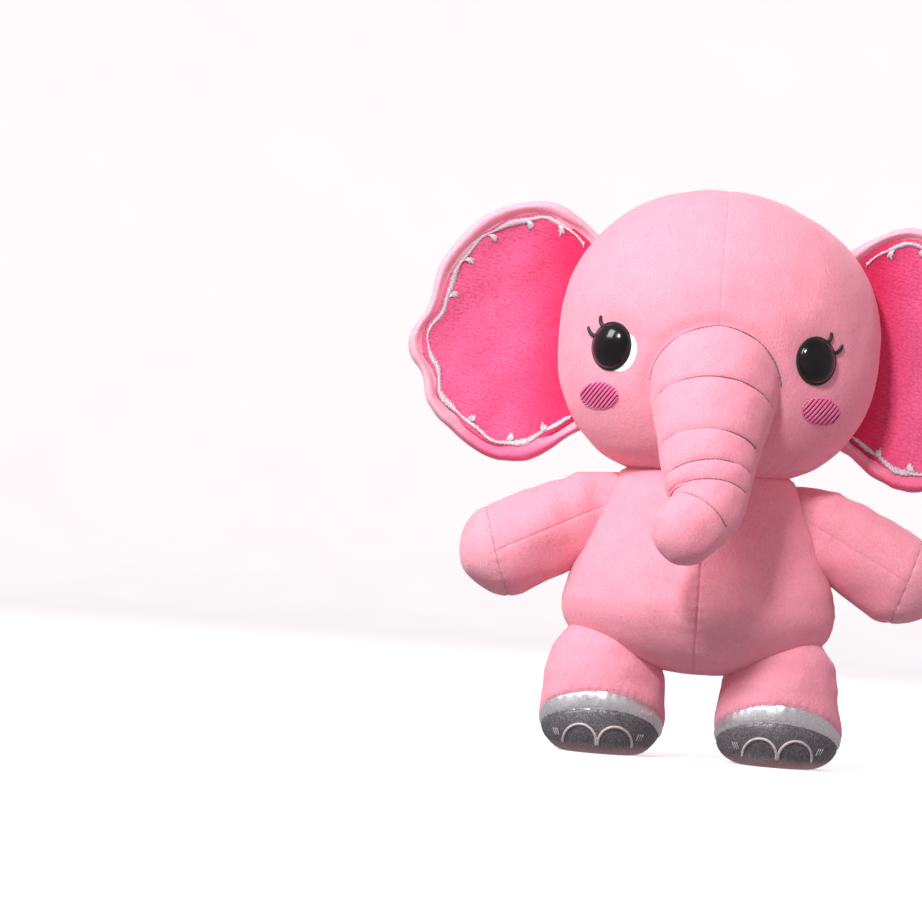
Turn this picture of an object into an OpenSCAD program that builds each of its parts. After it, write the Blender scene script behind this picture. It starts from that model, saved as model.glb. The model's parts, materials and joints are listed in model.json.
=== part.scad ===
// Stuffed elephant, standing: sewn plush skins over stuffing, in millimetres.
// The soles stand on z = 0, the trunk points to -Y, and +X is the elephant's own left.

/* [Fabric] */
// Thickness of the plush fabric
skin = 2; // [1.2:0.1:2.5]
// Gap between a skin and the stuffing inside it
fill_gap = 0.2; // [0.1:0.05:0.3]
// Gap between a limb's root and the socket that it turns in
socket_gap = 0.4; // [0.3:0.1:1]

/* [Head] */
// Width of the head
head_w = 170; // [166:1:174]
// Depth of the head, front to back
head_d = 146; // [142:1:150]
// Height of the head's widest level
head_z = 220; // [218:1:222]
// Height from the widest level up to the crown
crown_h = 80; // [74:1:84]
// Height that the lower curve would have if the neck didn't cut it
jaw_h = 76; // [74:1:80]

/* [Torso] */
// Height of the neck seam
neck_z = 150; // [149:0.5:150.5]
// Half-width of the torso at the neck
neck_r = 46; // [44:1:48]
// Half-width of the belly
belly_r = 72; // [70:1:73]
// Height of the belly's widest level
belly_z = 72; // [70:1:74]
// Height of the round bottom below the widest level
bottom_h = 30; // [28:1:31]
// Depth of the torso as a share of its width
torso_depth = 0.82; // [0.78:0.01:0.86]

/* [Trunk] */
// Radius of the trunk's root ball
trunk_root_r = 33; // [31:0.5:34]
// Radius of the trunk's tip
trunk_tip_r = 15.5; // [14:0.5:17]

/* [Ears] */
// Thickness of an ear
ear_t = 10; // [8:0.5:12]
// Clear space between an ear's inner edge and the head
ear_gap = 5; // [5:0.5:7]
// Size of the lining as a share of the whole ear
lining_share = 0.90; // [0.86:0.01:0.92]

/* [Arms] */
// Radius of the ball at the shoulder
shoulder_r = 23.5; // [22:0.5:24]
// Radius of the hand
hand_r = 25.5; // [24:0.5:27]

/* [Legs] */
// Distance of each leg from the middle
leg_x = 46.5; // [46:0.5:48]
// Radius of the ball at the hip
hip_r = 32; // [30:0.5:32.5]
// Half-width of the foot
foot_r = 34; // [32:0.5:34.5]
// Radius of the flat patch that the foot stands on
patch_r = 24; // [22:1:25]

/* [Eyes] */
// Width of an eye, seen from the front
eye_w = 21.5; // [18:0.5:23]
// Height of an eye
eye_h = 25.5; // [22:0.5:27]
// Distance of each eye from the middle
eye_x = 51.6; // [50:0.2:56]
// Height of the eyes
eye_z = 210; // [206:0.2:216]

/* [Hidden] */

$fn = 72;
far = 400;
axis_y = 24;
left = 1;
right = -1;
eps = 0.05;

plush_pink = "lightpink";
knit_pink = "hotpink";
thread_grey = "dimgray";

// Head: a superellipse turned about Z, then narrowed front to back
head_rx = head_w / 2;
head_ry = head_d / 2;
crown_power = 2;
jaw_power = 2.5;
head_floor = neck_z + 0.4;

// Trunk: ball, then tapered rolls from point to point, in the plane of the body
trunk_points = [[0, -56, 193], [0, -73, 168], [0, -86, 147], [-1, -96, 129], [-11, -106, 117]];
trunk_radii = [trunk_root_r, 27, 22, 18.5, trunk_tip_r];
trunk_root = trunk_points[0];
ring_levels = [180, 157, 143.5, 135, 124.5];

// Ears: outer edge of the elephant's left ear in X and Z, inner points are hidden by the head
ear_edge = [
    [62, 262], [80, 281], [100, 287.5], [121, 281.5], [141, 265], [152, 243], [156.5, 225],
    [163, 208], [156.5, 191], [150, 175], [133, 159], [108, 149], [86, 159], [64, 180]
];
ear_centre = [108, 218];
ear_front_y = 6;
lining_t = 2.5;
pocket_depth = 7;
trim_share = 0.045;

// Arms
shoulder = [59, 0, 125.5];
hand = [104.5, 0, 106];
cap_seam = [108, 0, 103.5];
cap_slope = 18;
arm_room = 1.6;

// Legs
hip = [leg_x, -6, 46];
foot_y = -8;
foot_corner = 10;
leg_room = 2.6;
band_level = 13;
band_slope = 26.5;
sole_level = 8;
sole_slope = 22;

// Tail
tail_root = [0, 57, 80];
tail_len = 24;
tail_tilt = 25;
tail_r = 4;

// ---------- small helpers ----------

module on_axis() {
    translate([0, axis_y, 0]) children();
}

module side(s) {
    if (s == left) children();
    else mirror([1, 0, 0]) children();
}

// Everything above (or below) a plane through the point at, sloping down towards +Y
module above(at, slope) {
    translate(at) rotate([-slope, 0, 0]) translate([-far / 2, -far / 2, 0]) cube(far);
}

module below(at, slope) {
    translate(at) rotate([-slope, 0, 0]) translate([-far / 2, -far / 2, -far]) cube(far);
}

// Turns its children's +Z to point along v
module along(v) {
    rotate([0, acos(v[2] / norm(v)), atan2(v[1], v[0])]) children();
}

function arc(r, from, to, steps, centre = [0, 0]) =
    [for (i = [0:steps]) let (a = from + (to - from) * i / steps) centre + r * [cos(a), sin(a)]];

// A tapered roll with round ends, from a to b
module roll(a, b, ra, rb) {
    len_ab = norm(b - a);
    translate(a) along(b - a) rotate_extrude() polygon(concat(
        [[0, -ra]], arc(ra, -80, 0, 8), arc(rb, 0, 80, 8, [0, len_ab]), [[0, len_ab + rb]]));
}

function mix(a, b, t) = a + (b - a) * t;
function unit(v) = v / norm(v);

// Closed skin over rings of points, each ring with the same number of sides
module skin_of(points, sides) {
    last = len(points) / sides - 1;
    walls = [for (i = [0:last - 1]) for (j = [0:sides - 1]) let (k = (j + 1) % sides)
        [i * sides + j, (i + 1) * sides + j, (i + 1) * sides + k, i * sides + k]];
    ends = [[for (j = [0:sides - 1]) j], [for (j = [sides - 1:-1:0]) last * sides + j]];
    polyhedron(points, concat(walls, ends), convexity = 4);
}

// A smooth closed curve through points, each span cut in n steps
function spline_point(p0, p1, p2, p3, t) =
    0.5 * (2 * p1 + (p2 - p0) * t + (2 * p0 - 5 * p1 + 4 * p2 - p3) * t * t
        + (3 * p1 - p0 - 3 * p2 + p3) * t * t * t);
function closed_spline(p, n) = let (m = len(p))
    [for (i = [0:m - 1]) for (k = [0:n - 1])
        spline_point(p[(i + m - 1) % m], p[i], p[(i + 1) % m], p[(i + 2) % m], k / n)];

// ---------- head ----------

// Half-width of the head at height z, for a form that is inset all round
function head_half(z, inset = 0) =
    let (up = z > head_z, c = (up ? crown_h : jaw_h) - inset, e = up ? crown_power : jaw_power,
         t = min(1, abs(z - head_z) / c))
    (head_rx - inset) * pow(1 - pow(t, e), 1 / e);

// Front surface of the head at x and z
function head_front(x, z) = -head_ry / head_rx * sqrt(pow(head_half(z), 2) - x * x);

module head_outline(inset, floor_z) {
    crown_steps = 16;
    jaw_steps = 12;
    polygon(concat(
        [[0, floor_z]],
        [for (i = [0:jaw_steps]) let (z = mix(floor_z, head_z, pow(i / jaw_steps, 1.3)))
            [head_half(z, inset), z]],
        [for (i = [1:crown_steps - 1]) let (a = 90 * i / crown_steps)
            [(head_rx - inset) * cos(a), head_z + (crown_h - inset) * sin(a)]],
        [[0, head_z + crown_h - inset]]));
}

module head_form(inset = 0, floor_z = head_floor, fine = 96) {
    scale([1, (head_ry - inset) / (head_rx - inset), 1])
        rotate_extrude($fn = fine) head_outline(inset, floor_z);
}

// A thin layer that lies on the head, between two heights above the fabric
module head_layer(low, high) {
    difference() {
        head_form(-high, neck_z - 5, 240);
        head_form(-low, neck_z - 8, 240);
    }
}

// A straight oval bar along Y, seen from the front at x and z
module oval_bar(x, z, w, h) {
    translate([x, 0, z]) rotate([90, 0, 0]) scale([w / 2, h / 2, 1]) cylinder(h = far, r = 1, $fn = 120);
}

// Places children on the face, with -Y pointing straight out of it
module on_face(s, x, z) {
    y = head_front(x, z);
    turn = atan2(x / (head_rx * head_rx), -y / (head_ry * head_ry));
    tilt = atan((head_half(z + 1) - head_half(z - 1)) / 2);
    side(s) translate([x, y, z]) rotate([0, 0, turn]) rotate([tilt, 0, 0]) children();
}

// A flat oval patch on the face, of thickness t at its middle, fitted to the fabric behind it
module face_patch(s, x, z, w, h, t) {
    difference() {
        on_face(s, x, z) rotate([90, 0, 0]) translate([0, 0, -4]) scale([w / 2, h / 2, 1])
            cylinder(h = 4 + t, r = 1);
        head_form(-0.12, neck_z - 8);
    }
}

module trunk_socket() {
    translate(trunk_root) {
        sphere(trunk_root_r + socket_gap);
        along(trunk_points[1] - trunk_root) cylinder(h = 60, r1 = trunk_root_r + 1, r2 = trunk_root_r - 10);
    }
}

eye_true_w = eye_w * 1.14;
dome_t = 7;
cheek_x = 57;
cheek_z = 184.8;
stem_r = 2.4;
stem_len = 13;
washer_r = 9;
washer_t = 2;
washer_depth = 3.4;
backing_t = 1;

// The stuffing gives way to the washer behind the fabric, and to the stem behind the washer
module eye_cavity(s) {
    pocket = washer_depth + washer_t + 0.3;
    on_face(s, eye_x, eye_z) rotate([-90, 0, 0]) translate([0, 0, -5]) {
        cylinder(h = 5 + stem_len + 0.4, r = stem_r + 0.15);
        cylinder(h = 5 + pocket, r = washer_r + 0.3);
    }
}

module eye_hole(s) {
    on_face(s, eye_x, eye_z) rotate([-90, 0, 0]) translate([0, 0, -6]) cylinder(h = 12, r = stem_r + 0.15);
}

module head_panel(s) {
    color(plush_pink) on_axis() difference() {
        intersection() {
            difference() {
                head_form();
                head_form(skin, head_floor - 0.5);
            }
            side(s) translate([eps, -far / 2, 0]) cube(far);
        }
        trunk_socket();
        eye_hole(s);
    }
}

module head_panel_left() { head_panel(left); }
module head_panel_right() { head_panel(right); }

module head_stuffing() {
    color("white") on_axis() difference() {
        head_form(skin + 2 * fill_gap, head_floor + 0.2);
        trunk_socket();
        for (s = [left, right]) eye_cavity(s);
    }
}

// A dome that stands on the felt backing, with its stem behind it
module eye(s) {
    base = backing_t + eps;
    color("black") on_axis() on_face(s, eye_x, eye_z) {
        intersection() {
            scale([eye_true_w / 2, dome_t, eye_h / 2]) sphere(1);
            translate([-far / 2, -far - base, -far / 2]) cube(far);
        }
        rotate([-90, 0, 0]) translate([0, 0, -base - 1]) cylinder(h = base + 1 + stem_len, r = stem_r);
    }
}

module eye_left() { eye(left); }
module eye_right() { eye(right); }

module eye_washer(s) {
    color("white") on_axis() on_face(s, eye_x, eye_z) rotate([-90, 0, 0]) translate([0, 0, washer_depth])
        difference() {
            cylinder(h = washer_t, r = washer_r);
            translate([0, 0, -1]) cylinder(h = washer_t + 2, r = stem_r + 0.05);
        }
}

module eye_washer_left() { eye_washer(left); }
module eye_washer_right() { eye_washer(right); }

module eye_backing(s) {
    rim = 2.6;
    color("black") on_axis() difference() {
        face_patch(s, eye_x, eye_z, eye_true_w + rim, eye_h + rim, backing_t);
        eye_hole(s);
    }
}

module eye_backing_left() { eye_backing(left); }
module eye_backing_right() { eye_backing(right); }

// White felt that shows at the inner lower side of the elephant's right eye
module eye_highlight_patch() {
    color("white") on_axis() difference() {
        intersection() {
            head_layer(eps, backing_t);
            side(right) oval_bar(eye_x - 6, eye_z - 4, 22, 25);
        }
        side(right) oval_bar(eye_x, eye_z, eye_w + 3, eye_h + 3);
    }
}

// Two curved lashes, stitched at the upper outer side of the eye
module lashes(s) {
    thread_r = 0.8;
    bend_r = 7;
    color("black") on_axis() for (lash = [[63, 223.5, 20], [67.5, 218.5, 0]])
        on_face(s, lash[0], lash[1]) translate([0, -1.2, bend_r]) rotate([90, lash[2], 0])
            rotate_extrude(angle = 55, $fn = 48) translate([bend_r, 0]) circle(thread_r, $fn = 16);
}

module lashes_left() { lashes(left); }
module lashes_right() { lashes(right); }

module cheek_patch(s) {
    color("palevioletred") on_axis() face_patch(s, cheek_x, cheek_z, 26, 15, 0.9);
}

module cheek_patch_left() { cheek_patch(left); }
module cheek_patch_right() { cheek_patch(right); }

// ---------- trunk ----------

// Rings of the trunk as [centre, radius]: round root, tapered length, round tip
function trunk_rings(inset) =
    let (n = len(trunk_points), steps = 3, p = trunk_points, q = trunk_radii,
         back = unit(p[0] - p[1]), ahead = unit(p[n - 1] - p[n - 2]),
         ra = q[0] - inset, rb = q[n - 1] - inset)
    concat(
        [for (a = [8, 28, 48, 68]) [p[0] + back * ra * cos(a), ra * sin(a)]],
        [for (i = [0:n - 2]) for (k = [0:steps - 1]) let (t = k / steps)
            [spline_point(p[max(0, i - 1)], p[i], p[i + 1], p[min(n - 1, i + 2)], t),
             mix(q[i], q[i + 1], t) - inset]],
        [for (a = [90, 68, 46, 26, 8]) [p[n - 1] + ahead * rb * cos(a), rb * sin(a)]]);

module trunk_form(inset = 0) {
    rings = trunk_rings(inset);
    last = len(rings) - 1;
    sides = 28;
    skin_of([for (i = [0:last]) let (
            t = unit(rings[min(last, i + 1)][0] - rings[max(0, i - 1)][0]),
            u = unit([1, 0, 0] - t[0] * t),
            w = cross(t, u))
        for (j = [0:sides - 1]) let (a = 360 * j / sides)
            rings[i][0] + rings[i][1] * (cos(a) * u + sin(a) * w)], sides);
}

// Cuts the trunk along its length into an upper and an underside half
module trunk_half(s) {
    tip = trunk_points[4];
    slope = atan2(tip[1] - trunk_root[1], trunk_root[2] - tip[2]);
    translate(trunk_root) rotate([slope, 0, 0]) translate([-far / 2, s < 0 ? -far : eps, -far / 2]) cube(far);
}

module trunk_panel(s) {
    color(plush_pink) on_axis() intersection() {
        difference() {
            trunk_form();
            trunk_form(skin);
        }
        trunk_half(s);
    }
}

module trunk_upper_panel() { trunk_panel(-1); }
module trunk_under_panel() { trunk_panel(1); }

module trunk_stuffing() { color("white") on_axis() trunk_form(skin + fill_gap); }

function level_share(z, i) = (trunk_points[i][2] - z) / (trunk_points[i][2] - trunk_points[i + 1][2]);
function level_span(z) = len([for (i = [1:3]) if (trunk_points[i][2] > z) i]);

// Five rings of stitching round the trunk's upper half, each one standing just proud of the fabric
module trunk_ring_stitches() {
    color(thread_grey) on_axis() for (z = ring_levels) {
        i = level_span(z);
        t = level_share(z, i);
        centre = mix(trunk_points[i], trunk_points[i + 1], t);
        r = mix(trunk_radii[i], trunk_radii[i + 1], t);
        v = trunk_points[i + 1] - trunk_points[i];
        u = unit([1, 0, 0] - unit(v)[0] * unit(v));
        w = cross(unit(v), u);
        rows = concat([for (k = [0:2]) [u[k], w[k], unit(v)[k], centre[k]]], [[0, 0, 0, 1]]);
        multmatrix(rows) rotate([0, 0, 20]) rotate_extrude(angle = 140) translate([r + 0.62, 0])
            circle(0.6, $fn = 16);
    }
}

module trunk_root_stitch() {
    color(thread_grey) on_axis() intersection() {
        head_layer(eps, 1.2);
        difference() {
            translate(trunk_root) sphere(trunk_root_r + 1.9);
            trunk_socket();
        }
        translate([-far / 2, -far, 182]) cube(far);
    }
}

// ---------- ears ----------

module ear_shape(share = 1) {
    polygon([for (p = closed_spline(ear_edge, 5)) ear_centre + (p - ear_centre) * share]);
}

// A flat plate in the plane of the ear, from y = front to front + t, kept clear of the head
module ear_plate(s, share, front, t) {
    side(s) translate([0, front + t, 0]) rotate([90, 0, 0]) linear_extrude(t) difference() {
        ear_shape(share);
        head_outline(-ear_gap, neck_z - 6);
    }
}

module ear_back(s) {
    color(plush_pink) on_axis() difference() {
        ear_plate(s, 1, ear_front_y, ear_t);
        ear_plate(s, lining_share, ear_front_y - 1, pocket_depth + 1);
    }
}

module ear_back_left() { ear_back(left); }
module ear_back_right() { ear_back(right); }

module ear_wadding(s) {
    color("white") on_axis()
        ear_plate(s, lining_share - 0.004, ear_front_y + lining_t + 0.1, pocket_depth - lining_t - 0.2);
}

module ear_wadding_left() { ear_wadding(left); }
module ear_wadding_right() { ear_wadding(right); }

module ear_lining(s) {
    color(knit_pink) on_axis() ear_plate(s, lining_share - 0.004, ear_front_y, lining_t);
}

module ear_lining_left() { ear_lining(left); }
module ear_lining_right() { ear_lining(right); }

// A narrow embroidered band that lies on the lining, just inside its edge
module ear_trim(s) {
    color("whitesmoke") on_axis() difference() {
        ear_plate(s, lining_share, ear_front_y - 0.8, 0.75);
        ear_plate(s, lining_share - trim_share, ear_front_y - 2, 3);
        side(s) translate([0, -far / 2, 0]) cube([82, far, far]);
    }
}

module ear_trim_left() { ear_trim(left); }
module ear_trim_right() { ear_trim(right); }

// ---------- torso ----------

function torso_rim(inset) = let (a = belly_r - inset, b = bottom_h - inset)
    [for (i = [0:12]) let (p = -90 + 98 * i / 12) [a * cos(p), belly_z + b * sin(p)]];

module torso_form(inset = 0, top = neck_z) {
    scale([1, (belly_r * torso_depth - inset) / (belly_r - inset), 1]) rotate_extrude($fn = 96)
        polygon(concat(torso_rim(inset), [[neck_r - inset, top], [0, top]]));
}

// Socket of a leg: a ball with room for the leg's upper edge as it swings
module leg_socket(s) {
    side(s) translate(hip) sphere(hip_r + leg_room);
}

// Socket of an arm, turned about the joint's own axis, with room for the arm's lower edge below the ball
module arm_socket(s) {
    ball = shoulder_r + arm_room;
    low = shoulder_r + 1.5;
    side(s) translate(shoulder) along(arm_axis()) rotate_extrude() polygon(concat(
        [[0, -low], [low * 0.72, -low]], arc(ball, -30, 85, 14), [[0, ball]]));
}

function arm_axis() = let (v = unit(hand - shoulder)) [-v[2], 0, v[0]];

module torso_cuts() {
    for (s = [left, right]) {
        leg_socket(s);
        arm_socket(s);
    }
    tail_socket();
}

module torso_panel(region) {
    color(plush_pink) on_axis() difference() {
        intersection() {
            difference() {
                torso_form();
                torso_form(skin, neck_z + 1);
            }
            translate(region) cube(far);
        }
        torso_cuts();
    }
}

module torso_panel_front_left() { torso_panel([eps, -far - eps, 0]); }
module torso_panel_front_right() { torso_panel([-far - eps, -far - eps, 0]); }
module torso_panel_back() { torso_panel([-far / 2, eps, 0]); }

module torso_stuffing() {
    color("white") on_axis() difference() {
        torso_form(skin + fill_gap, neck_z - 0.2);
        torso_cuts();
    }
}

// ---------- arms ----------

module arm_form(inset = 0) { roll(shoulder, hand, shoulder_r - inset, hand_r - inset); }

module beyond_cap_seam() {
    translate(cap_seam) rotate([0, cap_slope, 0]) translate([0, -far / 2, -far / 2]) cube(far);
}

// The half of space above (or below) the seam that runs along the arm
module arm_half(up) {
    v = hand - shoulder;
    translate(shoulder) rotate([0, -atan2(v[2], v[0]), 0])
        translate([-far / 2, -far / 2, up ? eps : -far - eps]) cube(far);
}

module arm_shell() {
    difference() {
        arm_form();
        arm_form(skin);
    }
}

module arm_panel(s, up) {
    color(plush_pink) on_axis() side(s) difference() {
        intersection() {
            arm_shell();
            arm_half(up);
        }
        translate([-eps, 0, 0]) beyond_cap_seam();
    }
}

module arm_upper_panel_left() { arm_panel(left, true); }
module arm_upper_panel_right() { arm_panel(right, true); }
module arm_lower_panel_left() { arm_panel(left, false); }
module arm_lower_panel_right() { arm_panel(right, false); }

module hand_cap(s) {
    color("pink") on_axis() side(s) intersection() {
        arm_shell();
        beyond_cap_seam();
    }
}

module hand_cap_left() { hand_cap(left); }
module hand_cap_right() { hand_cap(right); }

module arm_stuffing(s) { color("white") on_axis() side(s) arm_form(skin + fill_gap); }

module arm_stuffing_left() { arm_stuffing(left); }
module arm_stuffing_right() { arm_stuffing(right); }

// ---------- legs ----------

// Rings of a leg as [y, z, radius]: flat patch, round corner, shaft that leans forward, ball at the hip
function leg_rings(inset) =
    let (corner = foot_corner - inset, ball = hip_r - inset)
    concat(
        [for (p = [-90:15:0]) [foot_y, foot_corner + corner * sin(p), patch_r + corner * cos(p)]],
        [for (t = [0.2:0.2:0.9]) [mix(foot_y, hip[1], t * t * (3 - 2 * t)), mix(foot_corner, hip[2], t),
            mix(foot_r, hip_r, t) - inset]],
        [for (p = [0, 12, 24, 36, 48, 60, 72, 84]) [hip[1], hip[2] + ball * sin(p), ball * cos(p)]]);

module leg_form(inset = 0) {
    sides = 36;
    skin_of([for (ring = leg_rings(inset)) for (j = [0:sides - 1]) let (a = 360 * j / sides)
        [leg_x + ring[2] * cos(a), ring[0] + ring[2] * sin(a), ring[1]]], sides);
}

module leg_shell() {
    difference() {
        leg_form();
        leg_form(skin);
    }
}

module leg_sleeve(s) {
    color(plush_pink) on_axis() side(s) intersection() {
        leg_shell();
        above([leg_x, foot_y, band_level + eps], band_slope);
    }
}

module leg_sleeve_left() { leg_sleeve(left); }
module leg_sleeve_right() { leg_sleeve(right); }

module toe_band(s) {
    color("silver") on_axis() side(s) intersection() {
        leg_shell();
        below([leg_x, foot_y, band_level], band_slope);
        above([leg_x, foot_y, sole_level + eps], sole_slope);
    }
}

module toe_band_left() { toe_band(left); }
module toe_band_right() { toe_band(right); }

module sole(s) {
    color("gray") on_axis() side(s) intersection() {
        leg_shell();
        below([leg_x, foot_y, sole_level], sole_slope);
    }
}

module sole_left() { sole(left); }
module sole_right() { sole(right); }

// Two stitched humps side by side, each one following the front of the sole
module sole_motif(s) {
    hump_r = 6;
    hump_turn = 11.5;
    color("lightgray") on_axis() side(s) for (turn = [-hump_turn, hump_turn])
        translate([leg_x, foot_y, 9]) rotate([0, 0, turn]) translate([0, -foot_r - 0.2, 0])
            rotate([90, 0, 0]) rotate_extrude(angle = 180, $fn = 48) translate([hump_r, 0])
                circle(0.9, $fn = 16);
}

module sole_motif_left() { sole_motif(left); }
module sole_motif_right() { sole_motif(right); }

module pellet_bag_form(grow = 0) {
    translate([leg_x, foot_y, skin + fill_gap + 1 - grow]) cylinder(h = 12 + 2 * grow, r = 19 + grow);
}

module leg_stuffing(s) {
    color("white") on_axis() side(s) difference() {
        leg_form(skin + fill_gap);
        pellet_bag_form(fill_gap);
    }
}

module leg_stuffing_left() { leg_stuffing(left); }
module leg_stuffing_right() { leg_stuffing(right); }

module pellet_bag(s) { color("wheat") on_axis() side(s) pellet_bag_form(); }

module pellet_bag_left() { pellet_bag(left); }
module pellet_bag_right() { pellet_bag(right); }

// ---------- tail ----------

// Socket for the tail's ball, with a groove below it for the tail's cord
module tail_socket() {
    translate(tail_root) {
        sphere(tail_r + 1 + socket_gap);
        rotate([180 + tail_tilt / 2, 0, 0]) cylinder(h = tail_len, r = tail_r + 0.7);
    }
}

module tail_space() {
    translate(tail_root) rotate([180 + tail_tilt, 0, 0]) children();
}

module tail() {
    color(plush_pink) on_axis() tail_space() {
        sphere(tail_r + 1);
        cylinder(h = tail_len, r1 = tail_r, r2 = tail_r - 1);
    }
}

module tail_tuft() {
    tuft_r = 6;
    color(knit_pink) on_axis() tail_space() difference() {
        translate([0, 0, tail_len]) scale([1, 1, 1.4]) sphere(tuft_r);
        translate([0, 0, -1]) cylinder(h = tail_len + 1 + eps, r = tail_r);
    }
}

head_panel_left();
head_panel_right();
head_stuffing();
eye_left();
eye_right();
eye_washer_left();
eye_washer_right();
eye_backing_left();
eye_backing_right();
eye_highlight_patch();
lashes_left();
lashes_right();
cheek_patch_left();
cheek_patch_right();
trunk_upper_panel();
trunk_under_panel();
trunk_stuffing();
trunk_ring_stitches();
trunk_root_stitch();
ear_back_left();
ear_wadding_left();
ear_lining_left();
ear_trim_left();
ear_back_right();
ear_wadding_right();
ear_lining_right();
ear_trim_right();
torso_panel_front_left();
torso_panel_front_right();
torso_panel_back();
torso_stuffing();
arm_upper_panel_left();
arm_lower_panel_left();
hand_cap_left();
arm_stuffing_left();
arm_upper_panel_right();
arm_lower_panel_right();
hand_cap_right();
arm_stuffing_right();
leg_sleeve_left();
toe_band_left();
sole_left();
sole_motif_left();
leg_stuffing_left();
pellet_bag_left();
leg_sleeve_right();
toe_band_right();
sole_right();
sole_motif_right();
leg_stuffing_right();
pellet_bag_right();
tail();
tail_tuft();
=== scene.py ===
"""Plush elephant: soft skins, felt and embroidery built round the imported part."""
import json
import math

import bmesh
import bpy
import numpy as np
from mathutils import Matrix, Vector
from mathutils.bvhtree import BVHTree


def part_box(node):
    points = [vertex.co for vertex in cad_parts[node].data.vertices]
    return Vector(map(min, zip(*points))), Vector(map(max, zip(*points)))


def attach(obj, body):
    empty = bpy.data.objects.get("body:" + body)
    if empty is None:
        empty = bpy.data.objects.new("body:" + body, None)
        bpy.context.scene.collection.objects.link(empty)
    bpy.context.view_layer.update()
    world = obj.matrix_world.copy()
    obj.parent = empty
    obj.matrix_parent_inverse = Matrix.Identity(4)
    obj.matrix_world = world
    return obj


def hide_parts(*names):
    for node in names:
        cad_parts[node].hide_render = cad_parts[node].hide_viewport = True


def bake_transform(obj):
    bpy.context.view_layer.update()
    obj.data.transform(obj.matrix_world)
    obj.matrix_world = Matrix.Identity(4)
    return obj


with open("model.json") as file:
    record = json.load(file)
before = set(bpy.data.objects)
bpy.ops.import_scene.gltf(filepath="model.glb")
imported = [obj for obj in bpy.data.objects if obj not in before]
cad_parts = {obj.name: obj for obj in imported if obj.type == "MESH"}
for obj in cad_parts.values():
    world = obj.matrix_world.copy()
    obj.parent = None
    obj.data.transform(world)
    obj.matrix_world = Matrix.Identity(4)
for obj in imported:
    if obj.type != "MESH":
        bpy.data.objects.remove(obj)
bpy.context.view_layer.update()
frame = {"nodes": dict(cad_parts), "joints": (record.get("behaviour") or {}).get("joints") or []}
joints = {joint["name"]: joint for joint in frame["joints"]}
scene = bpy.context.scene

MM = 0.001
SIDES = {"left": 1, "right": -1}

# ---------- places, in millimetres from the body's own upright axis ----------

AXIS = np.array([0.0, joints["head_turn"]["pos_m"][1], 0.0]) / MM


def joint_at(name):
    return np.array(joints[name]["pos_m"]) / MM - AXIS


def span(*nodes):
    """Lowest and highest corner of some CAD nodes together."""
    boxes = [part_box(node) for node in nodes]
    low = np.min([np.array(box[0]) for box in boxes], axis=0)
    high = np.max([np.array(box[1]) for box in boxes], axis=0)
    return low / MM - AXIS, high / MM - AXIS


def middle(*nodes):
    low, high = span(*nodes)
    return (low + high) / 2


_, HEAD_HIGH = span("head_panel_left", "head_panel_right")
HEAD_RX = HEAD_HIGH[0]
HEAD_RY = HEAD_HIGH[1]
NECK_Z = joint_at("head_turn")[2]
CROWN = 80.0
HEAD_Z = HEAD_HIGH[2] - CROWN
JAW = 76.0
CROWN_POWER = 2.0
JAW_POWER = 2.5

BELLY_R = span("torso_panel_back")[1][0]
# Radius and height, from the crotch up to the neck.
TORSO_PROFILE = [(12, 44.6), (32, 46.6), (50, 51.8), (62, 59.6), (69.5, 69), (BELLY_R, 78), (71.0, 86),
                 (68.5, 95), (63.6, 107), (57.6, 122), (50.8, 138), (46.6, 147.5), (45.2, NECK_Z - 0.8)]
TORSO_DEPTH = 0.82

TRUNK_ROOT = joint_at("trunk_lift")
TRUNK_PATH = [TRUNK_ROOT, (0, -73, 168), (0, -86, 147), (0.6, -96, 130), (-9.4, -105.2, 116.5)]
TRUNK_RADII = [34, 28, 23.2, 18.6, 16.6]
RING_LEVELS = [180, 157, 143.5, 135, 124.5]

SHOULDER = joint_at("arm_swing_left")
HAND = np.array([102.2, 0, 103.2])
SHOULDER_R = 22.4
NECK_CORNER = np.array([37.0, 0, 131.0])
NECK_CORNER_R = 18.0
HAND_R = 25.0
CAP_SEAM = np.array([108, 0, 103.5])
CAP_NORMAL = np.array([math.cos(math.radians(18)), 0, -math.sin(math.radians(18))])

HIP = joint_at("hip_swing_left")
HIP_BALL = np.array([HIP[0] - 0.4, -9.0, 42.5])
HIP_R = 30.4
FOOT_Y = -8.0
FOOT_R = 32.8
PATCH_R = 17.0
FOOT_CORNER = 19.0
BAND_LEVEL, BAND_SLOPE = 17.0, 26.5
SOLE_LEVEL, SOLE_SLOPE = 10.5, 22.0

EAR_CENTRE = np.array([108.0, 218.0])
EAR_EDGE = [
    (52, 240), (60, 264), (69, 275), (81, 283), (91, 287), (100.5, 287.5), (114, 284.5), (128, 277.5),
    (139.5, 266), (148, 254), (151.8, 243), (155, 228), (161, 216), (163, 208), (161, 200),
    (155, 190), (152, 180), (150, 175), (144, 168), (134, 160), (123, 153), (114, 149.5),
    (106, 149), (96, 150.5), (86, 155.5), (76, 162.5), (64, 172), (54, 190), (50, 216),
]
# The face sits a little towards the elephant's right.
FACE_SHIFT = -1.8
EYE_X, EYE_Z = middle("eye_left")[[0, 2]]
EYE_W, EYE_H = 20.8, 25.2
CHEEK_X, CHEEK_Z = middle("cheek_patch_left")[[0, 2]]


# ---------- numbers and curves ----------

def smooth(x, low, high):
    t = np.clip((np.asarray(x, float) - low) / (high - low), 0, 1)
    return t * t * (3 - 2 * t)


def mix(a, b, t):
    return a + (b - a) * t


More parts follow.
